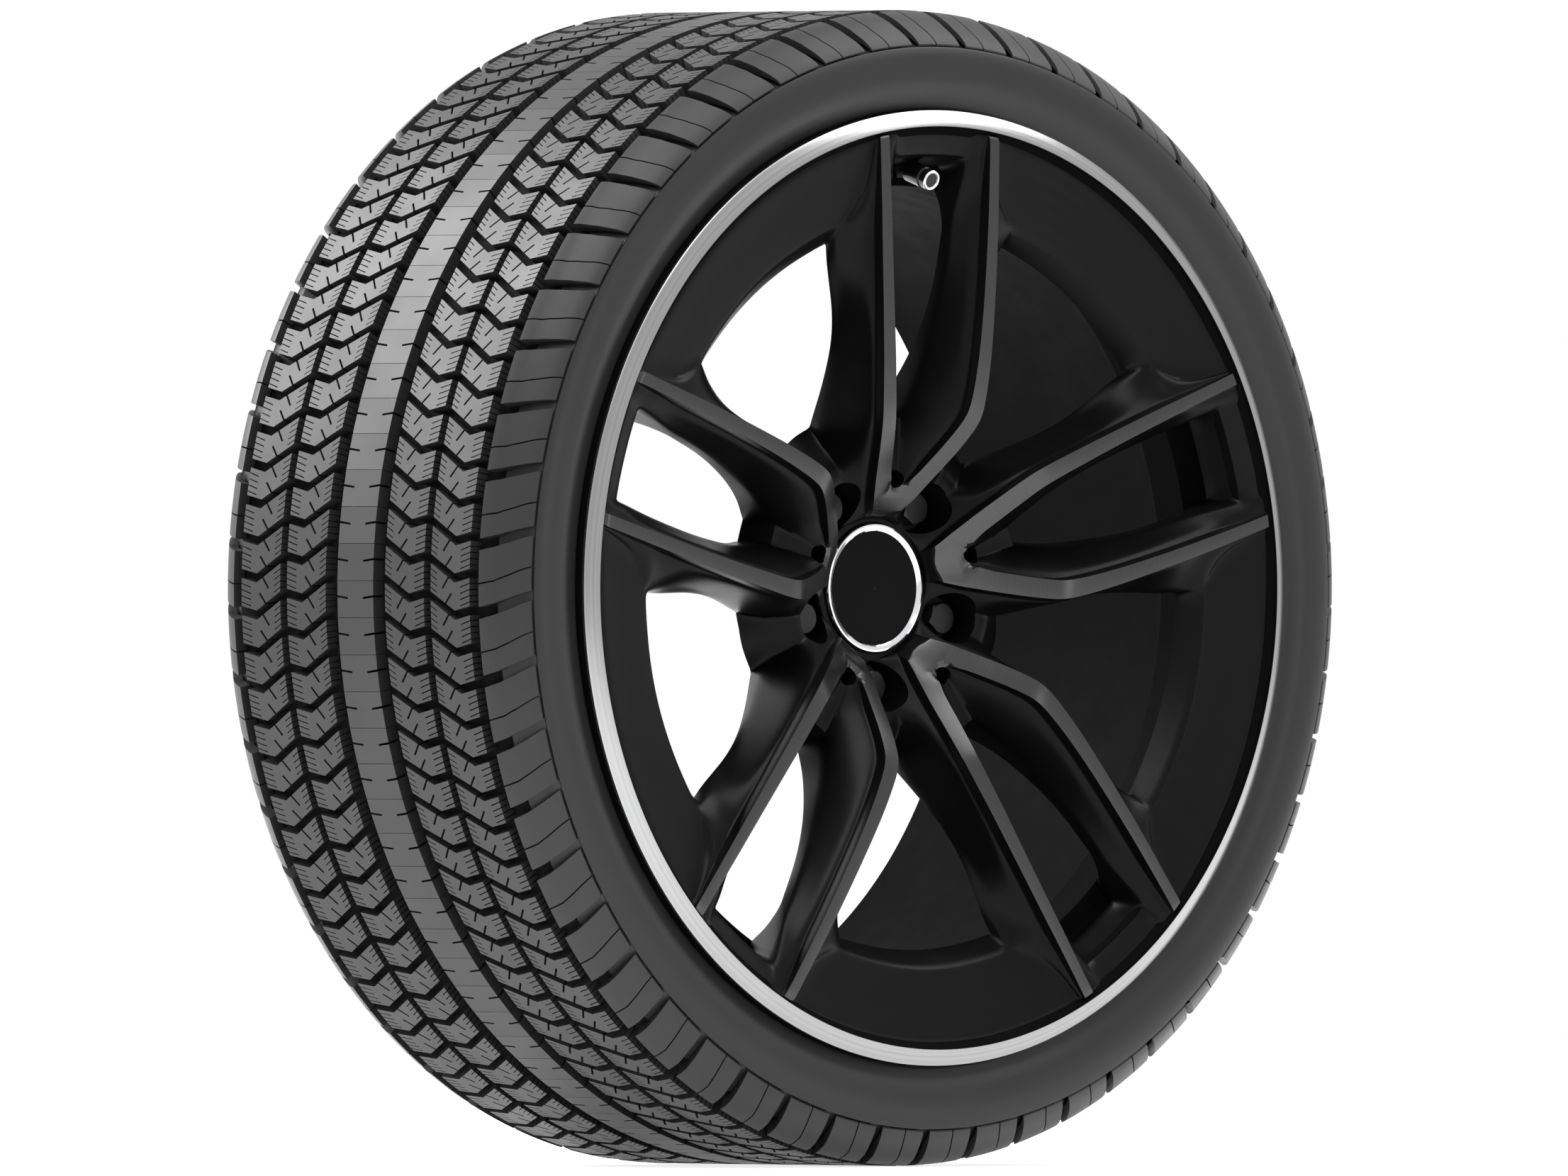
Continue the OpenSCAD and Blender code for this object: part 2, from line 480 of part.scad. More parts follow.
module valve_core() {
  color([0.75, 0.6, 0.3]) laid() on_valve() turned([[0.95, 6], [2.5, 6], [2.5, 10], [2.1, 10.5],
    [2.1, 14], [2.62, 14.5], [2.62, 17],
    [2, 18], [2, 20], [0.95, 20]]);
}
module valve_pin() {
  color([0.7, 0.7, 0.7]) laid() on_valve() turned([[0, 5.2], [0.9, 5.2], [0.9, 20.1], [1.7, 20.1],
    [1.7, 21.2], [0.7, 21.4], [0.7, 23.5],
    [0, 23.5]], 24);
}
module valve_nut() {
  color([0.5, 0.5, 0.5]) laid() on_valve() difference() {
    union() {
      translate([0, 0, -30.6]) cylinder(d = 12 / cos(30), h = 6, $fn = 6);
      translate([0, 0, -32]) cylinder(r = 7.1, h = 1.6, $fn = 48);
    }
    translate([0, 0, -40]) cylinder(r = 4.15, h = 30, $fn = 36);
  }
}
module valve_washer() {
  color([0.6, 0.6, 0.6]) laid() on_valve() turned([[4.3, 32.05], [7.3, 32.05], [7.3, nut_seat - 0.05],
    [4.3, nut_seat - 0.05]]);
}
module valve_grommet() {
  color([0.05, 0.05, 0.05]) laid() on_valve() turned([[4.15, 36], [5.5, 36], [5.5, spot_face + 0.05],
    [7.6, spot_face + 0.05],
    [7.6, 42.6], [4.15, 42.6]]);
}
module pressure_sensor() {
  color([0.08, 0.08, 0.08]) laid() difference() {
    union() {
      translate([-21, sensor_r, at(77)]) cube([42, 11, 24.5]);
      translate([-24, sensor_r + 2, at(74)]) cube([48, 7.5, 18.5]);
      on_valve() translate([0, 0, -58]) cylinder(r = 7, h = 10, $fn = 36);
    }
    on_valve() translate([0, 0, -54.3]) cylinder(r = 4.7, h = 20, $fn = 36);
    on_valve() translate([0, 0, -70]) cylinder(r = 2.2, h = 30, $fn = 36);
    on_valve() translate([0, 0, -85]) cylinder(r = 4.2, h = 27, $fn = 36);
  }
}
module sensor_screw() {
  color([0.6, 0.6, 0.6]) laid() on_valve() turned([[0, 46], [1.95, 46], [1.95, 58.1], [3.6, 58.1],
    [3.6, 60.6], [0, 60.6]], 24);
}

wheel_casting();
tyre();
cap_body();
cap_ring();
cap_spring();
bolt_1();
bolt_2();
bolt_3();
bolt_4();
bolt_5();
valve_cap();
valve_cap_seal();
valve_stem();
valve_core();
valve_pin();
valve_nut();
valve_washer();
valve_grommet();
pressure_sensor();
sensor_screw();
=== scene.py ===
import math

import bpy
import numpy as np
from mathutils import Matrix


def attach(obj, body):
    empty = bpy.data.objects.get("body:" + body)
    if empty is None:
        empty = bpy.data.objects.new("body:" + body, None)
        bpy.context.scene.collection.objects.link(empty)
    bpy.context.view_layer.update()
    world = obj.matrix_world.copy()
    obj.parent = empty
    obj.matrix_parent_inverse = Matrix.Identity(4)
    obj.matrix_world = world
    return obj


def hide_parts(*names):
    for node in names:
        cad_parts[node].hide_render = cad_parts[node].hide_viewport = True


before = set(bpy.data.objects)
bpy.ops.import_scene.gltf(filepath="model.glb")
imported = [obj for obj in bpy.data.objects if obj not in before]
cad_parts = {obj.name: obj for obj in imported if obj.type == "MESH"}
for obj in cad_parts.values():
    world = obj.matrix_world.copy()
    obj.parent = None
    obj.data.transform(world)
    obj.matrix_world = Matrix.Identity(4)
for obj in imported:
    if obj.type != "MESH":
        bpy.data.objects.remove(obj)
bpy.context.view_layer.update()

# The spokes in their five pairs, the webs between them and the hub are one aluminium casting. Each leg is
# a deep flank under black lacquer with a raised ridge, and the ridge tops are turned bright on a lathe.
# Sizes are in millimetres, and a depth is counted from the outer edge of the wheel's lip.
hub_face_depth = 88.5
pairs = 5
pair_angle = 360 / pairs


def place(radius, angle, depth):
    """Blender's point at a radius and angle (degrees, from +X towards +Z), depth behind the lip edge."""
    a = math.radians(angle)
    return (radius * math.cos(a) / 1000, (depth - hub_face_depth) / 1000, radius * math.sin(a) / 1000)


def along(x, table):
    """The value at x between the points of a table."""
    return float(np.interp(x, [p[0] for p in table], [p[1] for p in table]))


def deselect():
    """Leaves edit mode and selects nothing."""
    if bpy.context.object and bpy.context.object.mode == "EDIT":
        bpy.ops.object.mode_set(mode="OBJECT")
    bpy.ops.object.select_all(action="DESELECT")


def pick(*pieces):
    """Selects these pieces alone, with the first as the one that is worked on."""
    deselect()
    for piece in pieces:
        piece.select_set(True)
    bpy.context.view_layer.objects.active = pieces[0]


def face_outwards():
    """Turns all faces of the piece that is worked on outwards."""
    bpy.ops.object.mode_set(mode="EDIT")
    bpy.ops.mesh.select_all(action="SELECT")
    bpy.ops.mesh.normals_make_consistent(inside=False)
    bpy.ops.object.mode_set(mode="OBJECT")


def finish_piece(piece, name, smooth=30):
    """Names a piece, turns its faces outwards and shades it smooth where it bends less than an angle."""
    piece.name = name
    piece.data.name = name
    pick(piece)
    face_outwards()
    bpy.ops.object.shade_smooth_by_angle(angle=math.radians(smooth))
    return piece


# half widths from the pair's middle line over the radius
ridge_inner = [
    (57, 1.5), (58.5, 3.8), (62, 7.2), (65, 9.9), (76, 15.5), (87, 20.9), (97.7, 25.7), (103, 27.6),
    (108.6, 28.8), (119.5, 30.4), (130, 31.5), (141, 32.6), (152, 33.6), (163, 34.4), (185, 35.8),
    (206, 36.9), (228, 37.9), (250, 38.7), (264, 39),
]
ridge_outer = [
    (38, 6.5), (43.4, 10.1), (54.3, 16.4), (65.2, 21.8), (76, 27), (86.9, 32), (97.7, 36.4), (103, 38),
    (108.6, 39.1), (119.5, 40.3), (130, 41.2), (141, 41.9), (152, 42.6), (163, 43.1), (185, 44.1),
    (206, 44.9), (228, 45.4), (250, 45.9), (264, 46.4),
]
slot_front = [
    (56, 1.2), (62, 2.2), (73, 3.6), (86, 4.8), (97, 6), (109, 10.5), (126, 16), (144.6, 19.5),
    (161, 22.1), (178, 23.8), (195.4, 25), (213, 25.8), (228, 26.7), (239, 27.2), (247, 27.6),
    (264, 28.4),
]
slot_back = [
    (56, 1.6), (86, 3.5), (100, 4.6), (111, 8), (121, 12.4), (131, 15.4), (141, 17.4), (151, 19),
    (161, 21), (182, 23.4), (201, 23.8), (230, 25.5), (264, 26),
]
window_front = [
    (38, 19), (53, 27), (62, 31.5), (73, 37), (86, 42), (97, 44.6), (110, 45.6), (120, 46.5),
    (130, 47.2), (148, 48.5), (158, 49.6), (168, 51.6), (178, 54.2), (189, 57.5), (199, 61.5),
    (208, 66), (216, 68.5), (222, 57.5), (232, 51.8), (245, 48.9), (264, 47.2),
]
window_back = [
    (38, 19), (86, 40), (101, 44.6), (119, 46.4), (129, 47.2), (139, 48.2), (148, 49.6), (158, 51.6),
    (169, 54.6), (179, 58), (190, 62.4), (206, 66), (222, 60), (264, 48),
]

# depths over the radius, and how far out the back of each row lies
ridge_depth = [
    (38, 54), (42.2, 44.2), (48, 38.9), (54, 34.7), (67.9, 25.6), (81.5, 15.9), (95, 7.3), (102, 4),
    (108.5, 2.1), (122, 0.3), (136, -1.2), (163, -2.4), (190, -3.05), (217, -3.38), (262, -2.9),
    (264, -2.4),
]
slot_depth = [
    (52, 35.5), (56, 36), (73, 35.4), (86, 36), (97, 37), (109, 33), (126, 30), (144.6, 28), (161, 24),
    (178, 20.5), (195.4, 17.5), (213, 15), (228, 10), (239, 6.4), (247, 5.2), (256, 1.6), (264, -0.5),
]
window_depth = [
    (38, 55), (46, 53.5), (53, 50.5), (62, 45), (70, 40), (78, 39), (84, 43), (90, 48), (97, 50),
    (110, 47), (120, 42.5), (130, 38), (148, 30.5), (158, 27), (168, 24.2), (178, 22), (189, 19.6),
    (199, 17), (208, 13), (216, 9.4), (229, 6.6), (245, 3.6), (256, 1.2), (264, -0.5),
]
back_depth = [
    (38, 84), (76, 80), (86, 70), (100, 60), (110, 54), (120, 48), (130, 43), (140, 38.5), (150, 34),
    (160, 31), (170, 28.8), (180, 27), (190, 25), (206, 22), (222, 25), (233, 36), (242, 36),
    (250, 17.5), (264, 9.5),
]
back_radius = [
    (38, 38), (62, 66), (86, 102), (97, 106), (108.6, 113), (125, 126), (200, 196), (216, 206),
    (247, 240.6), (258, 256), (264, 262),
]

# the rows of the grid run outwards, and its columns from a pair's middle line to the web's middle
rows = [
    38, 42.2, 45.8, 51, 54.3, 58.5, 65, 72, 79, 86.5, 97, 103, 109.5, 120, 134, 150, 168, 184, 199, 209,
    216, 223, 232, 240, 247, 256, 263,
]
RIDGE_END_ROW, NOTCH_ROW = 1, 5
SLOT_ROWS = (10, 24)
WINDOW_ROWS = (9, 20)
COLUMNS = 12
(AXIS, SLOT_EDGE, INNER_FLANK, INNER_SHOULDER, INNER_FOOT, TOP_INNER, TOP_OUTER,
 OUTER_FOOT, OUTER_SHOULDER, OUTER_FLANK, WINDOW_EDGE, WEB, MIDDLE) = range(13)

# each ridge stands on a small foot and a rounded shoulder, and inside the notch a pair has one broad top
foot_width, foot_drop = 0.6, 7
shoulder_width, shoulder_drop = 3.4, 8.5
broad_top = (0, 0.12, 0.24, 0.36, 0.5, 0.66, 1)
ridge_end_rounding = 2.6
window_rounding_front, window_rounding_back = 0.8, 1.2
slot_end_depth = 28


def half_angle(width, radius):
    """Degrees from the pair's middle line at which a half width lies on a radius."""
    return math.degrees(math.asin(min(0.99, width / radius)))


def front_point(i, k):
    """Radius, angle and depth of the casting's front in row i and column k."""
    r = rows[i]
    if i == WINDOW_ROWS[1] and k > WINDOW_EDGE:
        r += (k - WINDOW_EDGE) * window_rounding_front
    if i == RIDGE_END_ROW and k <= TOP_OUTER:
        r += ridge_end_rounding * (k / TOP_OUTER) ** 3
    top, outer, window = along(r, ridge_depth), along(r, ridge_outer), along(r, window_front)
    if i < NOTCH_ROW:
        slot_d = top
        width = outer * broad_top[k] if k <= TOP_OUTER else 0
    else:
        slot_d = along(r, slot_depth)
        inner_edge, slot = along(r, ridge_inner), along(r, slot_front)
        slot = min(slot, inner_edge * 0.3) if i == NOTCH_ROW else slot
        gap = inner_edge - slot
        width = {
            AXIS: 0,
            SLOT_EDGE: slot,
            INNER_FLANK: slot + gap * 0.45,
            INNER_SHOULDER: inner_edge - min(shoulder_width, gap * 0.3),
            INNER_FOOT: inner_edge - min(foot_width, gap * 0.1),
            TOP_INNER: inner_edge,
        }.get(k, outer)
    if k > TOP_OUTER:
        gap = window - outer
        width = {
            OUTER_FOOT: outer + min(foot_width, gap * 0.1),
            OUTER_SHOULDER: outer + min(shoulder_width, gap * 0.34),
            OUTER_FLANK: outer + gap * 0.62,
        }.get(k, window)
    window_d = along(r, window_depth)
    drop_in, drop_out = slot_d - top, window_d - top
    inner_shoulder = top + min(shoulder_drop, drop_in * 0.55)
    outer_shoulder = top + min(shoulder_drop, drop_out * 0.55)
    depth = {
        AXIS: slot_d,
        SLOT_EDGE: slot_d,
        INNER_FLANK: inner_shoulder + max(0, drop_in - shoulder_drop) * 0.42,
        INNER_SHOULDER: inner_shoulder,
        INNER_FOOT: top + min(foot_drop, drop_in * 0.5),
        TOP_INNER: top,
        TOP_OUTER: top,
        OUTER_FOOT: top + min(foot_drop, drop_out * 0.5),
        OUTER_SHOULDER: outer_shoulder,
        OUTER_FLANK: outer_shoulder + max(0, drop_out - shoulder_drop) * 0.45,
    }.get(k, window_d)
    angle = half_angle(width, r)
    if k > WINDOW_EDGE:
        angle += (pair_angle / 2 - angle) * (k - WINDOW_EDGE) / (MIDDLE - WINDOW_EDGE)
    return r, angle, depth


def back_point(i, k):
    """Radius, angle and depth of the casting's back in row i and column k."""
    r = along(rows[i], back_radius)
    if i == WINDOW_ROWS[0] and k > WINDOW_EDGE:
        r += (k - WINDOW_EDGE) * window_rounding_back
    slot, window = half_angle(along(r, slot_back), r), half_angle(along(r, window_back), r)
    if k <= SLOT_EDGE:
        angle = slot * k
    elif k <= WINDOW_EDGE:
        angle = slot + (window - slot) * (k - 1) / (WINDOW_EDGE - 1)
    else:
        angle = window + (pair_angle / 2 - window) * (k - WINDOW_EDGE) / (MIDDLE - WINDOW_EDGE)
    depth = slot_end_depth if i == SLOT_ROWS[1] and k <= SLOT_EDGE else along(r, back_depth)
    return r, angle, depth


def pair_and_column(c):
    """Which pair a line of the grid lies on, and its column, below 0 on the pair's other side."""
    return c // (2 * COLUMNS), c % (2 * COLUMNS) - (COLUMNS - 1)


def cell_column(c):
    """The column of the cell behind a line of the grid, alike on both sides of a pair."""
    j = pair_and_column(c)[1]
    return min(j if j >= 0 else -j - 1, COLUMNS - 1)


def is_open(c, i):
    """The slots inside the pairs and the windows between them go right through."""
    in_slot = cell_column(c) < SLOT_EDGE and SLOT_ROWS[0] <= i < SLOT_ROWS[1]
    in_window = cell_column(c) >= WINDOW_EDGE and WINDOW_ROWS[0] <= i < WINDOW_ROWS[1]
    return in_slot or in_window


# a flat grid of the whole wheel is cut open, extruded to the back and set to its places
across, up = 2 * pairs * COLUMNS, len(rows) - 1
deselect()
bpy.ops.mesh.primitive_grid_add(x_subdivisions=across, y_subdivisions=up, size=2)
spokes = bpy.context.object
grid = spokes.data


def cell_of(v):
    """The line and the row of the flat grid that a point lies on."""
    return round((v.co.x + 1) / 2 * across), round((v.co.y + 1) / 2 * up)


bpy.ops.object.mode_set(mode="EDIT")
bpy.ops.mesh.select_all(action="DESELECT")
bpy.ops.mesh.select_mode(type="FACE")
bpy.ops.object.mode_set(mode="OBJECT")
for face in grid.polygons:
    corners = [cell_of(grid.vertices[v]) for v in face.vertices]
    face.select = is_open(min(c for c, i in corners), min(i for c, i in corners))
bpy.ops.object.mode_set(mode="EDIT")
bpy.ops.mesh.delete(type="FACE")
bpy.ops.mesh.select_all(action="SELECT")
bpy.ops.mesh.extrude_region_move(TRANSFORM_OT_translate={"value": (0, 0, 1)})
bpy.ops.mesh.select_all(action="DESELECT")
bpy.ops.object.mode_set(mode="OBJECT")
cells = [(*cell_of(v), v.co.z > 0.5) for v in grid.vertices]
places = []
for c, i, back in cells:
    pair, j = pair_and_column(c)
    r, a, d = (back_point if back else front_point)(i, abs(j))
    places += place(r, 90 + pair_angle * pair + math.copysign(a, j), d)
grid.vertices.foreach_set("co", places)

# creases hold the turned ridge edges and the rims of the openings
crease = grid.attributes.new("crease_edge", "FLOAT", "EDGE")
opening_crease, ridge_end_crease = 0.5, 0.8
front_creases = {
    SLOT_EDGE: 0.5, INNER_FOOT: 0.4, TOP_INNER: 0.93, TOP_OUTER: 0.93, OUTER_FOOT: 0.4, WINDOW_EDGE: 0.45,
}
for edge in grid.edges:
    (c1, i1, b1), (c2, i2, b2) = (cells[v] for v in edge.vertices)
    j = abs(pair_and_column(c1)[1])
    k = max(j, abs(pair_and_column(c2)[1]))
    runs_outwards, runs_across = b1 == b2 and c1 == c2, b1 == b2 and i1 == i2
    if runs_outwards and (j not in (SLOT_EDGE, INNER_FOOT, TOP_INNER) or min(i1, i2) >= NOTCH_ROW):
        on_back = opening_crease if j in (SLOT_EDGE, WINDOW_EDGE) else 0
        crease.data[edge.index].value = on_back if b1 else front_creases.get(j, 0)
    if runs_across and ((i1 in SLOT_ROWS and k <= SLOT_EDGE) or (i1 in WINDOW_ROWS and k > WINDOW_EDGE)):
        crease.data[edge.index].value = opening_crease
    if runs_across and not b1 and i1 == RIDGE_END_ROW and k <= TOP_OUTER:
        crease.data[edge.index].value = ridge_end_crease
for face in grid.polygons:
    corners = [cells[v] for v in face.vertices]
    c, i = min(x[0] for x in corners), min(x[1] for x in corners)
    cell = cell_column(c)
    on_front = not any(x[2] for x in corners)
    on_top = cell == TOP_INNER or (i < NOTCH_ROW and cell < TOP_OUTER)
    face.material_index = 1 if on_front and on_top and i >= RIDGE_END_ROW else 0
    # the walls along the grid's own two ends meet inside the metal
    face.select = len({x[0] for x in corners}) == 1 and c in (0, across)
bpy.ops.object.mode_set(mode="EDIT")
bpy.ops.mesh.delete(type="ONLY_FACE")
bpy.ops.mesh.select_all(action="SELECT")
bpy.ops.mesh.remove_doubles(threshold=0.00001)
bpy.ops.object.mode_set(mode="OBJECT")
smooth = spokes.modifiers.new("cast form", "SUBSURF")
smooth.levels = smooth.render_levels = 2
bpy.ops.object.modifier_apply(modifier=smooth.name)


def drill(piece, bores):
    """Cuts round bores along the wheel's axis: (radius, angle, first depth, last depth, bore radius)."""
    cutters = []
    for r, a, first, last, size in bores:
        deselect()
        bpy.ops.mesh.primitive_cylinder_add(vertices=72, radius=size / 1000, depth=(last - first) / 1000)
        cutter = bpy.context.object
        bpy.ops.transform.translate(value=(0, 0, -(first + last) / 2000))
        bpy.ops.object.transform_apply(location=True, rotation=True, scale=True)
        cos_a, sin_a = math.cos(math.radians(a - 90)), math.sin(math.radians(a - 90))
        places = []
        for v in cutter.data.vertices:
            x, y, z = v.co.x, -v.co.z - hub_face_depth / 1000, v.co.y + r / 1000
            places += [x * cos_a - z * sin_a, y, x * sin_a + z * cos_a]
        cutter.data.vertices.foreach_set("co", places)
        cutters.append(cutter)
    pick(*cutters)
    bpy.ops.object.join()
    face_outwards()
    tool = bpy.context.object
    pick(piece)
    cut = piece.modifiers.new("bores", "BOOLEAN")
    cut.operation, cut.object, cut.solver = "DIFFERENCE", tool, "EXACT"
    bpy.ops.object.modifier_apply(modifier=cut.name)
    bpy.data.objects.remove(tool)


bolt_circle, first_bolt = 112, 126
pocket_top, pocket_floor, pocket_radius = 20, 63.5, 14.5
notch_reach, notch_top, notch_floor, notch_radius = 62, 10, 45, 5.2
bolt_angles = [first_bolt + pair_angle * k for k in range(pairs)]
bolt_bores = [(bolt_circle / 2, a, pocket_top, pocket_floor, pocket_radius) for a in bolt_angles]
notch_angles = [90 + pair_angle * k for k in range(pairs)]
notch_bores = [(notch_reach, a, notch_top, notch_floor, notch_radius) for a in notch_angles]
drill(spokes, bolt_bores + notch_bores)


def new_group(title, inputs, outputs):
    """A node group whose named inputs and outputs are plain values, with its two end nodes."""
    group = bpy.data.node_groups.new(title, "ShaderNodeTree")
    for name in inputs:
        group.interface.new_socket(name, in_out="INPUT", socket_type="NodeSocketFloat")
    for name in outputs:
        group.interface.new_socket(name, in_out="OUTPUT", socket_type="NodeSocketFloat")
    return group, group.nodes.new("NodeGroupInput"), group.nodes.new("NodeGroupOutput")


def feed(tree, source, socket):
    """Links a socket to another one, or sets it to a plain value."""
    if isinstance(source, bpy.types.NodeSocket):
        tree.links.new(source, socket)
    else:
        socket.default_value = source


def work_out(tree, kind, operation, *sources):
    """A Math or Vector Math node, fed with its sources in order."""
    node = tree.nodes.new(kind)
    node.operation = operation
    for source, socket in zip(sources, node.inputs):
        feed(tree, source, socket)
    return node


def spread(tree, value, low, high, value_low=0, value_high=1):
    """Spreads a value that runs from value_low to value_high over the range from low to high."""
    node = tree.nodes.new("ShaderNodeMapRange")
    feed(tree, value, node.inputs["Value"])
    feed(tree, value_low, node.inputs["From Min"])
    feed(tree, value_high, node.inputs["From Max"])
    feed(tree, low, node.inputs["To Min"])
    feed(tree, high, node.inputs["To Max"])
    return node.outputs["Result"]


# a noise seldom leaves this range, which is spread over the whole of a tone
noise_low, noise_high = 0.3, 0.7

# the lathe leaves fine rings round the wheel's axis on all that it has turned
turning, group_in, group_out = new_group("turning rings", ["Rings per metre"], ["Ring height", "Ring tone"])
spot = turning.nodes.new("ShaderNodeTexCoord")
split = turning.nodes.new("ShaderNodeSeparateXYZ")
flat = turning.nodes.new("ShaderNodeCombineXYZ")
feed(turning, spot.outputs["Object"], split.inputs[0])
feed(turning, split.outputs["X"], flat.inputs["X"])
feed(turning, split.outputs["Z"], flat.inputs["Z"])
reach = work_out(turning, "ShaderNodeVectorMath", "LENGTH", flat.outputs[0])
rings_out = work_out(turning, "ShaderNodeMath", "MULTIPLY", reach.outputs["Value"],
                     group_in.outputs["Rings per metre"])
ring_noise = turning.nodes.new("ShaderNodeTexNoise")
ring_noise.noise_dimensions = "1D"
ring_noise.inputs["Scale"].default_value = 1
ring_noise.inputs["Detail"].default_value = 3
feed(turning, rings_out.outputs[0], ring_noise.inputs["W"])
feed(turning, ring_noise.outputs["Fac"], group_out.inputs["Ring height"])
ring_tone = spread(turning, ring_noise.outputs["Fac"], 0, 1, noise_low, noise_high)
feed(turning, ring_tone, group_out.inputs["Ring tone"])

# sprayed paint and moulded surfaces are never quite even
unevenness, group_in, group_out = new_group(
    "slight unevenness", ["Spots per metre", "Low", "High"], ["Value", "Height"])
spot = unevenness.nodes.new("ShaderNodeTexCoord")
cloud = unevenness.nodes.new("ShaderNodeTexNoise")
cloud.inputs["Detail"].default_value = 3
feed(unevenness, spot.outputs["Object"], cloud.inputs["Vector"])
feed(unevenness, group_in.outputs["Spots per metre"], cloud.inputs["Scale"])
patch_value = spread(unevenness, cloud.outputs["Fac"], group_in.outputs["Low"], group_in.outputs["High"],
                     noise_low, noise_high)
feed(unevenness, patch_value, group_out.inputs["Value"])
feed(unevenness, cloud.outputs["Fac"], group_out.inputs["Height"])


def coat(title, colour, gloss=0.5, metallic=0):
    """A material in one colour, with the strength of its gloss and whether it is bare metal."""
    m = bpy.data.materials.new(title)
    m.use_nodes = True
    surface = m.node_tree.nodes["Principled BSDF"]
    surface.inputs["Base Color"].default_value = (*colour, 1)
    surface.inputs["Specular IOR Level"].default_value = gloss
    surface.inputs["Metallic"].default_value = metallic
    return m


def raise_surface(material, height, strength, distance):
    """Gives a material the fine relief of a height pattern, distance in metres."""
    tree = material.node_tree
    bump = tree.nodes.new("ShaderNodeBump")
    bump.inputs["Strength"].default_value = strength
    bump.inputs["Distance"].default_value = distance
    feed(tree, height, bump.inputs["Height"])
    feed(tree, bump.outputs["Normal"], tree.nodes["Principled BSDF"].inputs["Normal"])


def two_colours(material, mask, first, second):
    """Colours a material from a first to a second colour as a mask goes from 0 to 1."""
    tree = material.node_tree
    shade = tree.nodes.new("ShaderNodeMix")
    shade.data_type = "RGBA"
    shade.inputs["A"].default_value = (*first, 1)
    shade.inputs["B"].default_value = (*second, 1)
    feed(tree, mask, shade.inputs["Factor"])
    feed(tree, shade.outputs["Result"], tree.nodes["Principled BSDF"].inputs["Base Color"])


def uneven(material, spots, low, high, grain=0, grain_height=0.0001):
    """Lets a material's roughness wander between two values, and gives it a fine grain."""
    tree = material.node_tree
    patchy = tree.nodes.new("ShaderNodeGroup")
    patchy.node_tree = unevenness
    patchy.inputs["Spots per metre"].default_value = spots
    patchy.inputs["Low"].default_value = low
    patchy.inputs["High"].default_value = high
    feed(tree, patchy.outputs["Value"], tree.nodes["Principled BSDF"].inputs["Roughness"])
    if grain:
        fine = tree.nodes.new("ShaderNodeGroup")
        fine.node_tree = unevenness
        fine.inputs["Spots per metre"].default_value = grain
        raise_surface(material, fine.outputs["Height"], strength=0.3, distance=grain_height)


def turned(material, rings_per_metre, dark, light, low, high, height):
    """Draws the lathe's rings in a metal's colour, roughness and surface."""
    tree = material.node_tree
    rings = tree.nodes.new("ShaderNodeGroup")
    rings.node_tree = turning
    rings.inputs["Rings per metre"].default_value = rings_per_metre
    two_colours(material, rings.outputs["Ring tone"], dark, light)
    roughness = spread(tree, rings.outputs["Ring tone"], low, high)
    feed(tree, roughness, tree.nodes["Principled BSDF"].inputs["Roughness"])
    raise_surface(material, rings.outputs["Ring height"], strength=0.4, distance=height)


black_lacquer = coat("black lacquer", (0.003, 0.003, 0.0032), gloss=0.09)
uneven(black_lacquer, spots=60, low=0.3, high=0.36, grain=900, grain_height=0.00006)
smoked_dark, smoked_light = (0.056, 0.056, 0.057), (0.066, 0.066, 0.067)
turned_metal = coat("turned ridge tops under smoked lacquer", smoked_light, metallic=1)
turned(turned_metal, 2600, smoked_dark, smoked_light, low=0.25, high=0.3, height=0.000006)
lip_dark, lip_light = (0.27, 0.27, 0.274), (0.36, 0.36, 0.364)
bright_lip = coat("turned bright lip", lip_light, metallic=1)
turned(bright_lip, 1300, lip_dark, lip_light, low=0.18, high=0.24, height=0.00001)
for m in (black_lacquer, turned_metal, bright_lip):
    spokes.data.materials.append(m)
finish_piece(spokes, "cast_spokes", 35)
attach(spokes, "wheel")
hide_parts("wheel_casting")


# The rim is part of the same casting: lip, bead seats, drop well and barrel. It is turned all over,
# sprayed satin black inside and left bright on the lip's face.
def arc(centre_radius, centre_depth, radius, start, end, steps):
    """Points of a round corner, from a start to an end angle (0 outwards, 90 to the outer face)."""
    angles = [math.radians(start + (end - start) * k / steps) for k in range(steps + 1)]
    return [(centre_radius + radius * math.cos(a), centre_depth - radius * math.sin(a)) for a in angles]


def lathe(profile, steps, name):
    """A closed profile of (radius, depth) points spun round the wheel's axis."""
    deselect()
    bpy.ops.mesh.primitive_circle_add(vertices=len(profile), fill_type="NOTHING")
    ring = bpy.context.object
    places = []
    for r, d in profile:
        places += place(r, 90, d)
    ring.data.vertices.foreach_set("co", places)
    bpy.ops.object.mode_set(mode="EDIT")
    bpy.ops.mesh.select_all(action="SELECT")
    bpy.ops.mesh.spin(steps=steps, angle=2 * math.pi, center=(0, 0, 0), axis=(0, 1, 0))
    bpy.ops.mesh.select_all(action="SELECT")
    bpy.ops.mesh.remove_doubles(threshold=0.000005)
    bpy.ops.object.mode_set(mode="OBJECT")
    return finish_piece(ring, name)


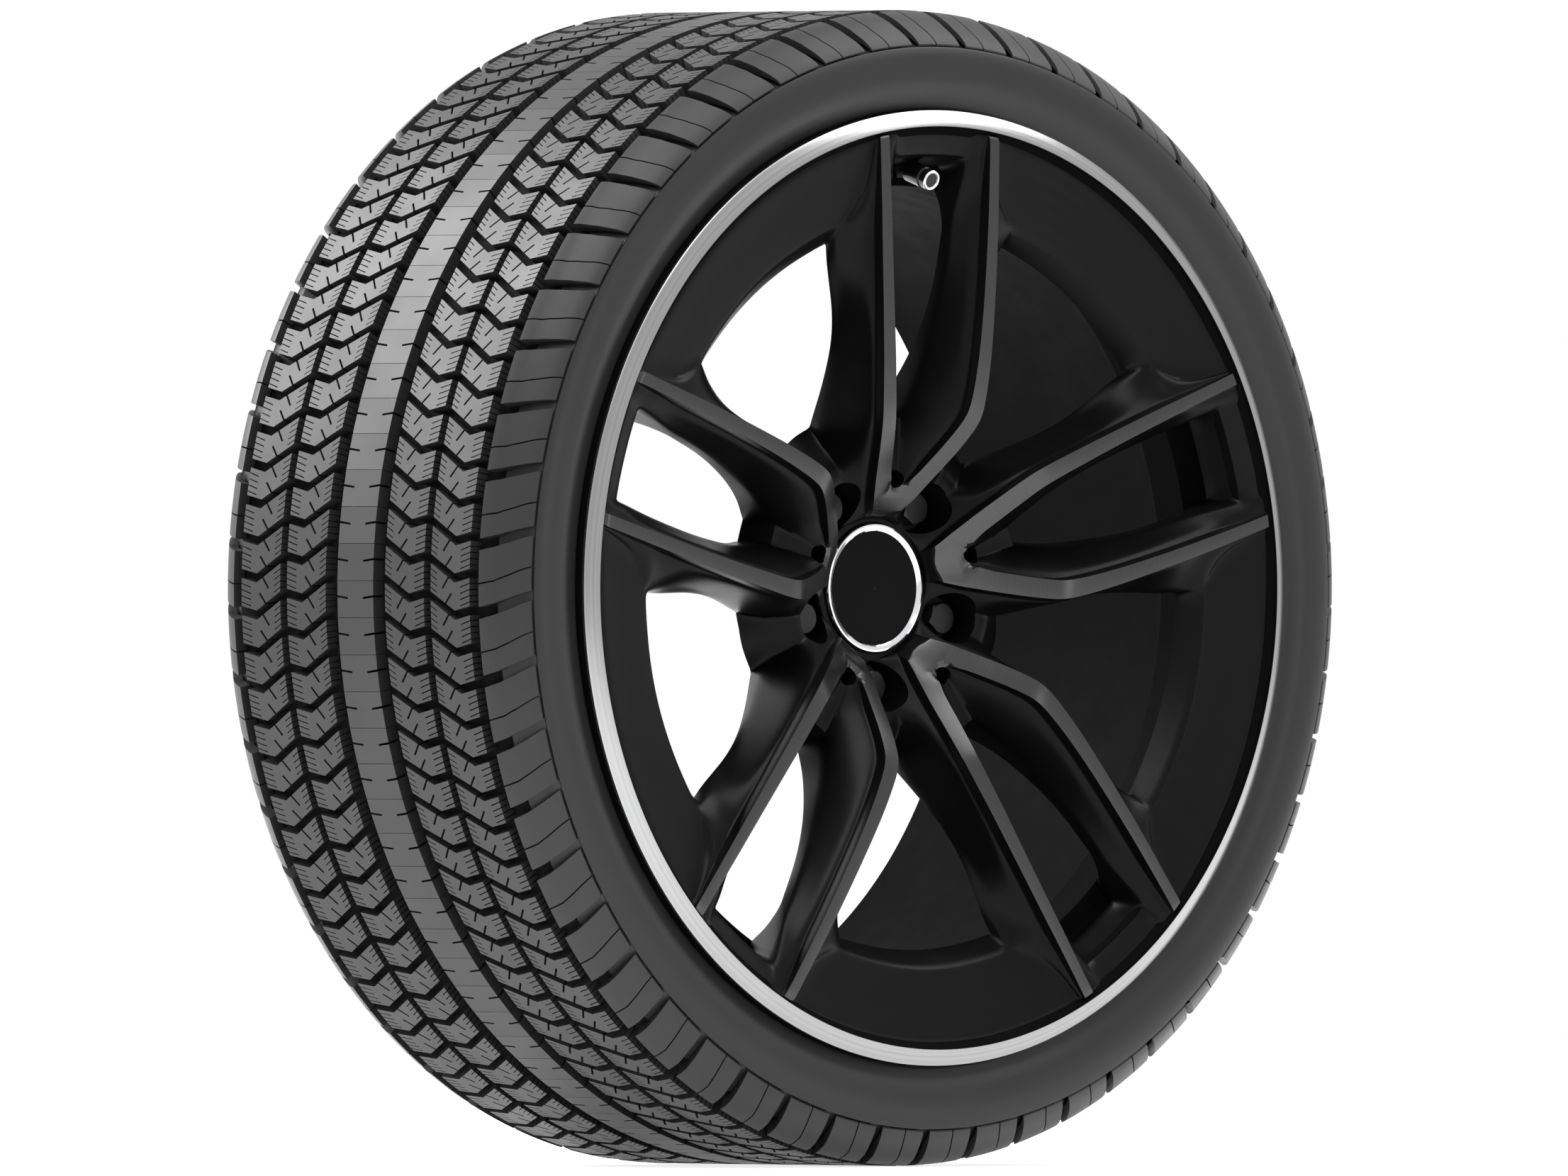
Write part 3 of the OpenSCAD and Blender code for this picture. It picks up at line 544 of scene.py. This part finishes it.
flange_middle, flange_rounding = 262, 9.5
outer_lip = [(262.4, -3.4), (262.9, -3.25), (270.9, -0.3), (271.5, 0.3), (271.5, 2)]
seats_and_well = [
    (254.7, 15.2), (253.7, 16.2), (252, 35.7), (252.5, 37.2), (252.5, 39.2), (248.2, 43.7), (235.5, 51.2),
    (235.5, 75.2), (238, 81.2), (248.5, 211.8), (252.5, 220.3), (252.5, 222.3), (252, 223.8),
    (253.7, 242.8), (254.7, 243.8),
]
barrel_inside = [
    (271.5, 255.5), (270, 256.5), (262.5, 256.5), (252, 250.5), (247, 246.6), (246.5, 227.8),
    (243.5, 209.8), (231.5, 63.5), (229.2, 58.5), (228.8, 58), (228.8, 34.6), (229.4, 34), (240.2, 34),
    (240.9, 33.2), (245.5, 7.5), (246.5, 6), (252, 4), (258, 1), (261.2, -1), (261.8, -1.6), (261.9, -2.9),
]
rim_profile = (
    outer_lip
    + arc(flange_middle, 5.7, flange_rounding, 0, -90, 8)
    + seats_and_well
    + arc(flange_middle, 253.3, flange_rounding, 90, 0, 8)
    + barrel_inside
)
rim = lathe(rim_profile, 256, "rim")
barrel_black = coat("satin black barrel", (0.0035, 0.0035, 0.0036), gloss=0.01)
uneven(barrel_black, spots=60, low=0.55, high=0.62, grain=900, grain_height=0.00006)
rim.data.materials.append(barrel_black)
rim.data.materials.append(bright_lip)
lip_inside, lip_back = 262.15, 1.2
for face in rim.data.polygons:
    x, y, z = (1000 * n for n in face.center)
    if math.hypot(x, z) > lip_inside and y + hub_face_depth < lip_back:
        face.material_index = 1
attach(rim, "wheel")
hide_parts("wheel_casting")

# The pad that meets the car's hub and the bore that centres the wheel are turned into the back of the
# same casting, with a step inside that the cap's fingers hold on to, and holes for the wheel bolts.
hub_profile = [
    (33.3, 88.5), (75, 88.5), (76, 87.5), (76, 83), (60, 78), (41.6, 62), (41.4, 54.6), (41, 54),
    (37.6, 54), (37.2, 54.4), (37.2, 55.5), (35, 55.5), (35, 74.5), (33.3, 75.2),
]
hole_top, hole_end, hole_radius = 60, 95, 7.5
hub = lathe(hub_profile, 128, "hub_bore_and_pad")
drill(hub, [(bolt_circle / 2, a, hole_top, hole_end, hole_radius) for a in bolt_angles])
hub.data.materials.append(black_lacquer)
finish_piece(hub, "hub_bore_and_pad")
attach(hub, "wheel")
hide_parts("wheel_casting")

# The winter tyre is moulded in one piece of matt black rubber and sits on the rim's bead seats. On its
# smooth casing stand tread blocks cut by sipes. The casing is spun, and each block is copied round it.
tyre_radius, tread_depth = 328.7, 7.8
pitches, shoulder_pitches = 98, 53
middle_depth = 129.5
floor_radius = tyre_radius - tread_depth
wall_half = [
    (floor_radius, 0), (floor_radius, 60), (floor_radius - 0.2, 90), (floor_radius - 0.8, 101),
    (318, 108), (314.2, 115), (309.6, 121), (307.2, 125.4), (307.6, 126.9), (306.9, 127.3), (302, 128.4),
    (298.5, 128.85), (295, 129), (290, 128.7), (287, 128.2), (283, 126.8), (279.5, 125), (276.5, 123.6),
    (273.6, 122.9), (272.3, 122.6),
]
bead_half = [
    (271.2, 121.6), (268, 117.2), (264, 115), (260, 114.4), (255, 114.2), (253.9, 112.8), (252.6, 97.6),
    (254.6, 95.6), (263.5, 100), (281.5, 113), (296, 117), (304.5, 112), (312, 100), (315, 82),
    (316, 0),
]
tyre_profile = (
    [(r, middle_depth + w) for r, w in reversed(wall_half[1:])]
    + [(r, middle_depth - w) for r, w in wall_half]
    + [(r, middle_depth - w) for r, w in bead_half]
    + [(r, middle_depth + w) for r, w in reversed(bead_half[:-1])]
)
casing = lathe(tyre_profile, 256, "tyre_casing")


def on_tyre(side, turn, depth):
    """A point on the tread: mm to the outer side of the middle, mm round the tyre, mm below the tread."""
    return place(tyre_radius - depth, math.degrees(turn / tyre_radius), middle_depth - side)


def copy_round(copies):
    """Copies the block that is worked on round the tyre."""
    face_outwards()
    bpy.ops.object.mode_set(mode="EDIT")
    bpy.ops.mesh.select_all(action="SELECT")
    bpy.ops.mesh.spin(steps=copies - 1, angle=2 * math.pi * (copies - 1) / copies,
                      center=(0, 0, 0), axis=(0, 1, 0), dupli=True)
    bpy.ops.object.mode_set(mode="OBJECT")


def thicken_downwards():
    """Makes the flat shape that is worked on a solid, one unit thick, until its points are placed."""
    bpy.ops.object.mode_set(mode="EDIT")
    bpy.ops.mesh.select_all(action="SELECT")
    bpy.ops.mesh.extrude_region_move(TRANSFORM_OT_translate={"value": (0, 0, -1)})
    bpy.ops.object.mode_set(mode="OBJECT")


block_foot = tread_depth + 0.3


def block(outline, start):
    """A tread block as an outline raised from the casing, copied all round from a start angle."""
    deselect()
    n = len(outline)
    bpy.ops.mesh.primitive_circle_add(vertices=n, fill_type="NGON")
    piece = bpy.context.object
    thicken_downwards()
    shift = math.radians(start) * tyre_radius
    places = []
    for v in piece.data.vertices:
        side, turn = outline[round(math.atan2(-v.co.x, v.co.y) / (2 * math.pi) * n) % n]
        places += on_tyre(side, turn + shift, block_foot if v.co.z < -0.5 else 0)
    piece.data.vertices.foreach_set("co", places)
    copy_round(pitches)
    return piece


def chevron_outline(inner, mirror):
    """A V-shaped block with a long inner arm, a short outer arm, sipes at both edges and two slits."""
    length, wide, knee = 15.8, 32.6, 20.1
    inner_rise, outer_fall = 11, 2.6
    sipes, first_sipe, sipe_step = 4, 2.65, 3.5

    def edge(x):
        if x < knee:
            return (x - knee) * inner_rise / knee
        return -(x - knee) * outer_fall / (wide - knee)

    points = [(0, edge(0))]
    points += [(14.2, edge(14.2)), (9.3, edge(14.2) + 6.1), (10.5, edge(14.2) + 6.8), (15.4, edge(15.4))]
    points += [(knee, 0), (wide, edge(wide))]
    for k in range(sipes):
        b = edge(wide) + first_sipe + sipe_step * k
        points += [(wide, b), (wide - 7.9, b + 2.26), (wide - 7.7, b + 2.9), (wide, b + 0.62)]
    points += [(wide, edge(wide) + length), (knee, length)]
    points += [(13.1, edge(13.1) + length), (18, edge(13.1) + length - 5.6)]
    points += [(16.9, edge(13.1) + length - 6.4), (11.9, edge(11.9) + length)]
    points += [(0, edge(0) + length)]
    for k in reversed(range(sipes)):
        b = edge(0) + first_sipe + sipe_step * k
        points += [(0, b + 0.62), (5.1, b + 3.5), (5.5, b + 3), (0, b)]
    return [((-1 if mirror else 1) * (inner + x), b) for x, b in points]


def rib_outline():
    """One pitch of the middle rib, with a short slit in from each edge."""
    half_width, half_gap = 15, 0.14
    pitch = 2 * math.pi * tyre_radius / pitches
    edge = [(half_width, half_gap), (half_width, 8.2), (6.2, 9.3), (6.3, 10.5), (half_width, 9.5),
            (half_width, pitch - half_gap)]
    return edge + [(-x, b) for x, b in reversed(edge)]


inner_row, inner_start = 25, 174.1
outer_row, outer_start = 63.3, 175.8
rib_start = 175.6
blocks = [
    block(chevron_outline(inner_row, False), inner_start),
    block(chevron_outline(inner_row, True), inner_start),
    block(chevron_outline(outer_row, False), outer_start),
    block(chevron_outline(outer_row, True), outer_start),
    block(rib_outline(), rib_start),
]

# shoulder blocks follow the rounded shoulder down to the raised line on the sidewall
shoulder_line = [
    (103, 328.2), (107, 327), (111.5, 324.5), (115, 322), (118, 319.2), (121, 316.4), (123.4, 313.8),
    (125.2, 311.4), (126.4, 309.2),
]
groove_middle = [(103, 175.7), (111.5, 175.3), (118, 174.8), (123.4, 174.3), (126.4, 174)]
groove_width = [(103, 1.2), (118, 1.15), (126.4, 1)]
sipe_middle = [(103, 172.8), (111.5, 172.5), (118, 171.9), (123.4, 171.3), (126.4, 171)]
half_sipe = 0.08
root_depth, thinnest_root = 8.2, 1.2
shoulder_pitch = 360 / shoulder_pitches


def shoulder_block(mirror, first_half):
    """One half of a shoulder block, between the groove and the sipe, copied all round."""
    deselect()
    lines = len(shoulder_line) - 1
    bpy.ops.mesh.primitive_grid_add(x_subdivisions=lines, y_subdivisions=3, size=2)
    piece = bpy.context.object
    thicken_downwards()
    places = []
    for v in piece.data.vertices:
        i = round((v.co.x + 1) / 2 * lines)
        side, radius = shoulder_line[i]
        half_groove = along(side, groove_width) / 2
        if first_half:
            low = along(side, groove_middle) - shoulder_pitch + half_groove
            high = along(side, sipe_middle) - half_sipe
        else:
            low = along(side, sipe_middle) + half_sipe
            high = along(side, groove_middle) - half_groove
        if v.co.z < -0.5:
            root = root_depth if i < 2 else max(thinnest_root, root_depth - (side - 107) * 0.36)
            radius -= root * 0.9
            side -= root * (0.15 if i < 3 else 0.45)
        depth = middle_depth + side if mirror else middle_depth - side
        places += place(radius, low + (high - low) * (v.co.y + 1) / 2, depth)
    piece.data.vertices.foreach_set("co", places)
    copy_round(shoulder_pitches)
    return piece


blocks += [shoulder_block(mirror, first) for mirror in (False, True) for first in (True, False)]
pick(*blocks)
bpy.ops.object.join()
tread = bpy.context.object
finish_piece(tread, "tyre_tread")

rubber = coat("matt black rubber", (0.022, 0.022, 0.023), gloss=0.32)
uneven(rubber, spots=25, low=0.4, high=0.48, grain=1400, grain_height=0.0001)
wall_rubber = coat("smooth sidewall rubber", (0.021, 0.021, 0.0215), gloss=0.26)
uneven(wall_rubber, spots=25, low=0.33, high=0.38, grain=1400, grain_height=0.00004)
# the bottoms of the grooves get a near-black, dull rubber: painted shade where the tread blocks shade them
groove_painted_shade = coat("rubber darkened as painted shade in the groove bottoms", (0.006, 0.006, 0.006), gloss=0.04)
uneven(groove_painted_shade, spots=25, low=0.6, high=0.7, grain=1400, grain_height=0.00004)
casing.data.materials.append(wall_rubber)
casing.data.materials.append(groove_painted_shade)
tread.data.materials.append(rubber)
# casing faces beyond this radius lie between the tread blocks and take the painted shade
painted_shade_radius = 317.5
for face in casing.data.polygons:
    if 1000 * math.hypot(face.center.x, face.center.z) > painted_shade_radius:
        face.material_index = 1
for piece in (casing, tread):
    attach(piece, "wheel")
    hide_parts("tyre")


# The cap, the bolts and the valve with its sensor are small turned, forged and moulded pieces. The cap
# snaps into the hub, the bolts screw through it, and the valve is clamped in the rim by its nut.
def finish_node(names, title, colour, roughness, metallic=0, gloss=0.5):
    """Gives solids of the frame a finish, with a roughness that varies a little."""
    m = coat(title, colour, gloss, metallic)
    uneven(m, spots=220, low=roughness * 0.9, high=roughness * 1.15)
    for name in names:
        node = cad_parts[name]
        node.data.materials.clear()
        node.data.materials.append(m)
    return m


bolts = [f"bolt_{k}" for k in range(1, pairs + 1)]
cap_black, coated_dark = (0.003, 0.003, 0.003), (0.012, 0.012, 0.0125)
valve_body = ["valve_nut", "valve_stem"]
steel_pieces = ["valve_pin", "valve_washer", "cap_spring", "sensor_screw"]
finish_node(["cap_body"], "black moulded plastic", cap_black, 0.2, gloss=0.06)
finish_node(["cap_ring"], "polished chrome", (0.72, 0.72, 0.74), 0.07, metallic=1)
finish_node(bolts, "black coated steel", (0.006, 0.006, 0.006), 0.38, gloss=0.3)
coated_brass = finish_node(["valve_cap"], "black coated brass", coated_dark, 0.26, metallic=0.5, gloss=0.4)
finish_node(valve_body, "black anodised aluminium", coated_dark, 0.34, metallic=0.4, gloss=0.3)
finish_node(steel_pieces, "plain steel", (0.4, 0.4, 0.4), 0.32, metallic=1)
finish_node(["valve_core"], "turned brass", (0.6, 0.42, 0.18), 0.28, metallic=1)
finish_node(["valve_cap_seal", "valve_grommet"], "seal rubber", (0.015, 0.015, 0.015), 0.5)
finish_node(["pressure_sensor"], "matt black plastic", (0.012, 0.012, 0.012), 0.45)

# the raised edge round the valve cap's end is left bright, in metres along and from the valve's axis
valve_end = (0, -0.0845, 0.2315)
valve_lean = math.radians(18)
valve_axis = (0, -math.cos(valve_lean), -math.sin(valve_lean))
edge_height, edge_inner_radius = 0.0008, 0.0042
tree = coated_brass.node_tree
spot = tree.nodes.new("ShaderNodeTexCoord")
from_end = work_out(tree, "ShaderNodeVectorMath", "SUBTRACT", spot.outputs["Object"], valve_end)
outwards = work_out(tree, "ShaderNodeVectorMath", "DOT_PRODUCT", from_end.outputs[0], valve_axis)
sideways = work_out(tree, "ShaderNodeVectorMath", "CROSS_PRODUCT", from_end.outputs[0], valve_axis)
off_axis = work_out(tree, "ShaderNodeVectorMath", "LENGTH", sideways.outputs[0])
on_end = work_out(tree, "ShaderNodeMath", "GREATER_THAN", outwards.outputs["Value"], -edge_height)
on_edge = work_out(tree, "ShaderNodeMath", "GREATER_THAN", off_axis.outputs["Value"], edge_inner_radius)
bright = work_out(tree, "ShaderNodeMath", "MULTIPLY", on_end.outputs[0], on_edge.outputs[0])
two_colours(coated_brass, bright.outputs[0], coated_dark, (0.55, 0.55, 0.56))
feed(tree, spread(tree, bright.outputs[0], 0.5, 1), tree.nodes["Principled BSDF"].inputs["Metallic"])

# The picture is taken in a white studio: a long lens at the photograph's angle, a white floor that keeps
# the wheel's shadow, and large soft lamps above and beside it. Places here are in metres.
view_turn = math.radians(42.68)
forward = (math.sin(view_turn), math.cos(view_turn), 0)
right = (math.cos(view_turn), -math.sin(view_turn), 0)
lip_centre = (0, -hub_face_depth / 1000, 0)
distance, left_shift = 30, 0.0868
photo_width, pixels_per_metre, sensor_width = 2212, 2482.5, 36
camera_data = bpy.data.cameras.new("camera")
camera_data.sensor_width = sensor_width
camera_data.lens = sensor_width * pixels_per_metre * distance / photo_width
camera_data.clip_end = 100
camera = bpy.data.objects.new("camera", camera_data)
bpy.context.scene.collection.objects.link(camera)
camera.location = [lip_centre[n] - left_shift * right[n] - distance * forward[n] for n in range(3)]
camera.rotation_euler = (math.pi / 2, 0, -view_turn)
bpy.context.scene.camera = camera

floor_size, floor_height = 12, -0.3292
deselect()
bpy.ops.mesh.primitive_plane_add(size=floor_size, location=(0, 0, floor_height))
floor = bpy.context.object
floor.name = "floor"
pale = bpy.data.materials.new("pale floor")
pale.use_nodes = True
paint = pale.node_tree.nodes["Principled BSDF"]
paint.inputs["Base Color"].default_value = (0.9, 0.9, 0.9, 1)
paint.inputs["Roughness"].default_value = 0.9
paint.inputs["Emission Color"].default_value = (1, 1, 1, 1)


def white_where_seen(tree, unseen, seen, socket):
    """One strength for rays that see the studio straight, in metal or through glass, one for all others."""
    path = tree.nodes.new("ShaderNodeLightPath")
    either = work_out(tree, "ShaderNodeMath", "MAXIMUM", path.outputs["Is Camera Ray"],
                      path.outputs["Is Glossy Ray"])
    any_of = work_out(tree, "ShaderNodeMath", "MAXIMUM", either.outputs[0],
                      path.outputs["Is Transmission Ray"])
    feed(tree, spread(tree, any_of.outputs[0], unseen, seen), socket)


white_where_seen(pale.node_tree, unseen=0, seen=0.8, socket=paint.inputs["Emission Strength"])
floor.data.materials.append(pale)

world = bpy.data.worlds.new("studio")
bpy.context.scene.world = world
world.use_nodes = True
background = world.node_tree.nodes["Background"]
white_where_seen(world.node_tree, unseen=0.35, seen=1, socket=background.inputs["Strength"])
background.inputs["Color"].default_value = (1, 1, 1, 1)


def lamp(name, position, target, width, height, power):
    """A soft rectangular lamp that faces a target, its power in watts."""
    data = bpy.data.lights.new(name, "AREA")
    data.shape = "RECTANGLE"
    data.size, data.size_y, data.energy = width, height, power
    light = bpy.data.objects.new(name, data)
    bpy.context.scene.collection.objects.link(light)
    light.location = position
    ray = [t - p for t, p in zip(target, position)]
    light.rotation_euler = (math.atan2(math.hypot(ray[0], ray[1]), -ray[2]), 0, math.atan2(-ray[0], ray[1]))


lamp("top softbox", (-0.7, -0.7, 2.3), (0, 0, 0), 1.8, 1.6, 38)
lamp("tread softbox", (-0.9, 1.7, 1.25), (-0.1, 0.05, 0), 1.6, 1.7, 92)
lamp("strip in front", (0.55, -2.1, 0.25), (0, -0.1, 0), 0.3, 0.9, 2.4)
lamp("left softbox", (-1.4, -1.05, 1.75), (0, -0.1, 0), 0.9, 1.1, 14)
lamp("right softbox", (1.35, -0.8, 1.95), (0, -0.1, 0.1), 1.5, 1.5, 27)

bpy.context.scene.view_settings.view_transform = "Standard"
